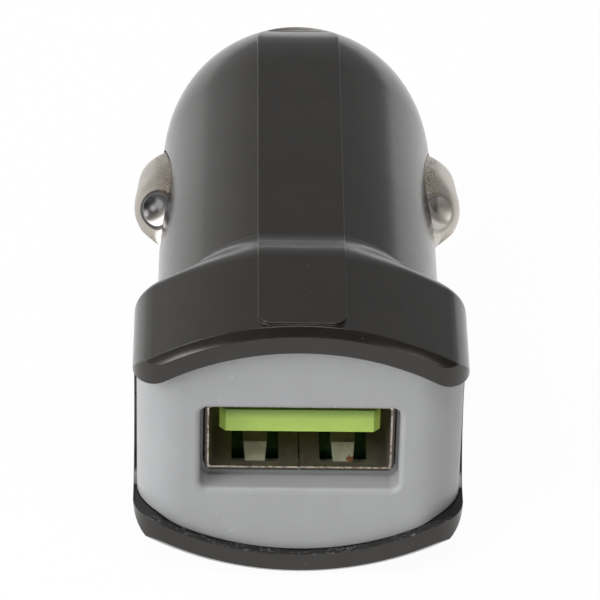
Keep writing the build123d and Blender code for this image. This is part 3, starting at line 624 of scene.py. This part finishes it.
def make_lights():
    """Soft boxes that face the plug, each with its own brightness."""
    for name, place, size, level in SOFT_BOXES:
        lamp = bpy.data.lights.new(name, "AREA")
        lamp.shape = "RECTANGLE"
        lamp.size, lamp.size_y = size
        lamp.energy = level * pi * size[0] * size[1]
        light = put(name, lamp)
        light.location = place
        light.rotation_euler = (-Vector(place)).to_track_quat("-Z", "Y").to_euler()


def make_camera(scene, stage):
    """Camera at the photograph's angle."""
    level = cos(stage.elevation)
    back = Vector((
        sin(stage.azimuth) * level,
        -cos(stage.azimuth) * level,
        sin(stage.elevation),
    ))
    data = bpy.data.cameras.new("camera")
    data.lens = stage.lens
    data.sensor_width = SENSOR_WIDTH
    data.clip_start = CLIP_START
    camera = put("camera", data)
    turn = back.to_track_quat("Z", "Y").to_matrix().to_4x4()
    base = Matrix.Translation(Vector(stage.aim) + back * stage.distance) @ turn
    camera.matrix_world = Matrix.Rotation(-stage.lean, 4, "Y") @ base
    scene.camera = camera


# Settings

class ChargerLook(bpy.types.PropertyGroup):
    """Colours and finish of the pieces."""

    housing: FloatVectorProperty(
        name="Housing", description="Black of the moulded halves", subtype="COLOR", size=3,
        default=(0.0078, 0.0070, 0.0064), min=0, max=1)
    fascia: FloatVectorProperty(
        name="Fascia", description="Grey of the face round the port", subtype="COLOR", size=3,
        default=(0.322, 0.325, 0.330), min=0, max=1)
    nickel: FloatVectorProperty(
        name="Nickel", description="Bright plating of the nose and the fronts of the side contacts",
        subtype="COLOR", size=3, default=(0.70, 0.66, 0.60), min=0, max=1)
    contact: FloatVectorProperty(
        name="Contact", description="Dulled plating of the side contacts", subtype="COLOR", size=3,
        default=(0.45, 0.413, 0.365), min=0, max=1)
    tongue: FloatVectorProperty(
        name="Tongue", description="Green of the port's tongue", subtype="COLOR", size=3,
        default=(0.43, 0.605, 0.108), min=0, max=1)
    edge: FloatProperty(
        name="Edge", description="Radius that softens the moulded edges",
        default=0.1 * MM, unit="LENGTH")
    dimple: FloatVectorProperty(
        name="Dimple", description="Middle of a side contact's polished dimple, on the right",
        size=3, default=(11.1 * MM, 11.34 * MM, 3.31 * MM), subtype="TRANSLATION")


class ChargerCoils(bpy.types.PropertyGroup):
    """Sizes of the wound pieces."""

    spring_turns: FloatProperty(
        name="Spring turns", description="Turns of the tip spring", default=4.5)
    spring_wire: FloatProperty(
        name="Spring wire", description="Radius of the spring's wire",
        default=0.3 * MM, unit="LENGTH")
    drum_layers: IntProperty(
        name="Drum layers", description="Layers of wire on the drum", default=2)
    drum_wire: FloatProperty(
        name="Drum wire", description="Radius of the winding's wire",
        default=0.2 * MM, unit="LENGTH")


class ChargerStage(bpy.types.PropertyGroup):
    """Camera and light."""

    aim: FloatVectorProperty(
        name="Aim", description="Point that the camera looks at", size=3,
        default=(0.15 * MM, 4.2 * MM, 0), subtype="TRANSLATION")
    elevation: FloatProperty(
        name="Elevation", description="Camera height angle",
        default=radians(35.96), subtype="ANGLE")
    azimuth: FloatProperty(
        name="Azimuth", description="Camera angle round the plug",
        default=radians(-0.46), subtype="ANGLE")
    lean: FloatProperty(
        name="Lean", description="Turn of the view round the plug axis",
        default=radians(1.1), subtype="ANGLE")
    distance: FloatProperty(
        name="Distance", description="Camera to the aim", default=314.5 * MM, unit="LENGTH")
    lens: FloatProperty(name="Lens", description="Focal length in millimetres", default=262.7)
    backdrop: FloatProperty(
        name="Backdrop", description="Brightness of the surroundings", default=0.375)
    glow: FloatProperty(
        name="Glow", description="Extra brightness of the left side", default=0.35)


# Operators

class CHARGER_OT_housing(bpy.types.Operator):
    """Black moulded halves"""

    bl_idname = "charger.housing"
    bl_label = "Housing"

    def execute(self, context):
        dress(gloss_black(context.scene.charger_look), "upper_shell", "lower_shell")
        return {"FINISHED"}


class CHARGER_OT_fascia(bpy.types.Operator):
    """Grey face round the port"""

    bl_idname = "charger.fascia"
    bl_label = "Fascia"

    def execute(self, context):
        dress(satin_grey(context.scene.charger_look), "front_fascia")
        return {"FINISHED"}


class CHARGER_OT_port(bpy.types.Operator):
    """Port: nickel sheet, green tongue and contacts"""

    bl_idname = "charger.port"
    bl_label = "Port"

    def execute(self, context):
        dress(port_plate(), "usb_shell")
        dress(green_plastic(context.scene.charger_look), "usb_insulator")
        gold = turned_metal("flash_gold", GOLD, rough=0.22)
        dress(gold, *["usb_contact_" + str(k) for k in range(1, 5)])
        return {"FINISHED"}


class CHARGER_OT_side_contacts(bpy.types.Operator):
    """Sprung side contacts"""

    bl_idname = "charger.side_contacts"
    bl_label = "Side contacts"

    def execute(self, context):
        dress(side_plate(context.scene.charger_look), "left_contact", "right_contact")
        return {"FINISHED"}


class CHARGER_OT_nose(bpy.types.Operator):
    """Nose ring, centre contact, its spring and lug"""

    bl_idname = "charger.nose"
    bl_label = "Nose"

    def execute(self, context):
        look = context.scene.charger_look
        coils = context.scene.charger_coils
        dress(turned_metal("ring_plate", look.nickel, rough=0.24), "nose_ring")
        dress(turned_metal("tip_plate", look.nickel, rough=0.18), "tip_contact")
        dress(turned_metal("lug_plate", look.nickel, rough=0.3), "spring_terminal")
        wire = coils.spring_wire
        span = SPRING_HIGH.y - SPRING_LOW.y
        length = span - 2 * wire
        radius = (SPRING_HIGH.x - SPRING_LOW.x) / 2 - wire
        low = Matrix.Translation((0, SPRING_LOW.y + wire, 0))
        place = low @ Matrix.Rotation(radians(-90), 4, "X")
        steel = turned_metal("spring_steel", STEEL, rough=0.28)
        spring = wound_coil(
            "tip_spring_wire", steel, coils.spring_turns, radius, length, wire, place)
        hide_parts("tip_spring")
        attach(spring, "plug")
        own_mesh(spring)
        return {"FINISHED"}


class CHARGER_OT_board(bpy.types.Operator):
    """Circuit board and its parts"""

    bl_idname = "charger.board"
    bl_label = "Board"

    def execute(self, context):
        coils = context.scene.charger_coils
        for name, colour, rough, metal, nodes in BOARD_FINISHES:
            dress(board_part(name, colour, rough, metal), *nodes)
        wire = coils.drum_wire
        height = DRUM_HIGH.z - DRUM_LOW.z
        centre = (DRUM_LOW + DRUM_HIGH) / 2
        outer = (DRUM_HIGH.x - DRUM_LOW.x) / 2
        length = height - 2 * wire
        turns = height / (2 * wire) - 1
        copper = board_part("enamelled_copper", COPPER, rough=0.3, metal=1.0)
        place = Matrix.Translation((centre.x, centre.y, DRUM_LOW.z + wire))
        for layer in range(coils.drum_layers):
            radius = outer - wire - 2 * wire * layer
            name = "drum_winding_" + str(layer + 1)
            piece = wound_coil(name, copper, turns, radius, length, wire, place)
            if layer == 0:
                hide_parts("inductor_winding")
            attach(piece, "plug")
        return {"FINISHED"}


class CHARGER_OT_stage(bpy.types.Operator):
    """White floor, soft light and camera"""

    bl_idname = "charger.stage"
    bl_label = "Stage"

    def execute(self, context):
        scene = context.scene
        scene.view_settings.view_transform = "Standard"
        make_floor()
        make_world(scene, scene.charger_stage)
        make_lights()
        make_camera(scene, scene.charger_stage)
        return {"FINISHED"}


class CHARGER_PT_panel(bpy.types.Panel):
    """Steps of the charger plug"""

    bl_idname = "CHARGER_PT_panel"
    bl_label = "Charger plug"
    bl_space_type = "VIEW_3D"
    bl_region_type = "UI"
    bl_category = "Charger"

    def draw(self, context):
        for operator in OPERATORS:
            self.layout.operator(operator.bl_idname)


SETTINGS = (
    ("charger_look", ChargerLook),
    ("charger_coils", ChargerCoils),
    ("charger_stage", ChargerStage),
)
OPERATORS = (
    CHARGER_OT_housing,
    CHARGER_OT_fascia,
    CHARGER_OT_port,
    CHARGER_OT_side_contacts,
    CHARGER_OT_nose,
    CHARGER_OT_board,
    CHARGER_OT_stage,
)


def register():
    """Add the settings, operators and panel."""
    for name, group in SETTINGS:
        bpy.utils.register_class(group)
        setattr(bpy.types.Scene, name, PointerProperty(type=group))
    for operator in OPERATORS:
        bpy.utils.register_class(operator)
    bpy.utils.register_class(CHARGER_PT_panel)


def unregister():
    """Take them away again."""
    bpy.utils.unregister_class(CHARGER_PT_panel)
    for operator in reversed(OPERATORS):
        bpy.utils.unregister_class(operator)
    for name, group in reversed(SETTINGS):
        delattr(bpy.types.Scene, name)
        bpy.utils.unregister_class(group)


def main():
    """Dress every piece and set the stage."""
    register()
    bpy.ops.charger.housing()
    bpy.ops.charger.fascia()
    bpy.ops.charger.port()
    bpy.ops.charger.side_contacts()
    bpy.ops.charger.nose()
    bpy.ops.charger.board()
    bpy.ops.charger.stage()


if __name__ == "__main__":
    main()
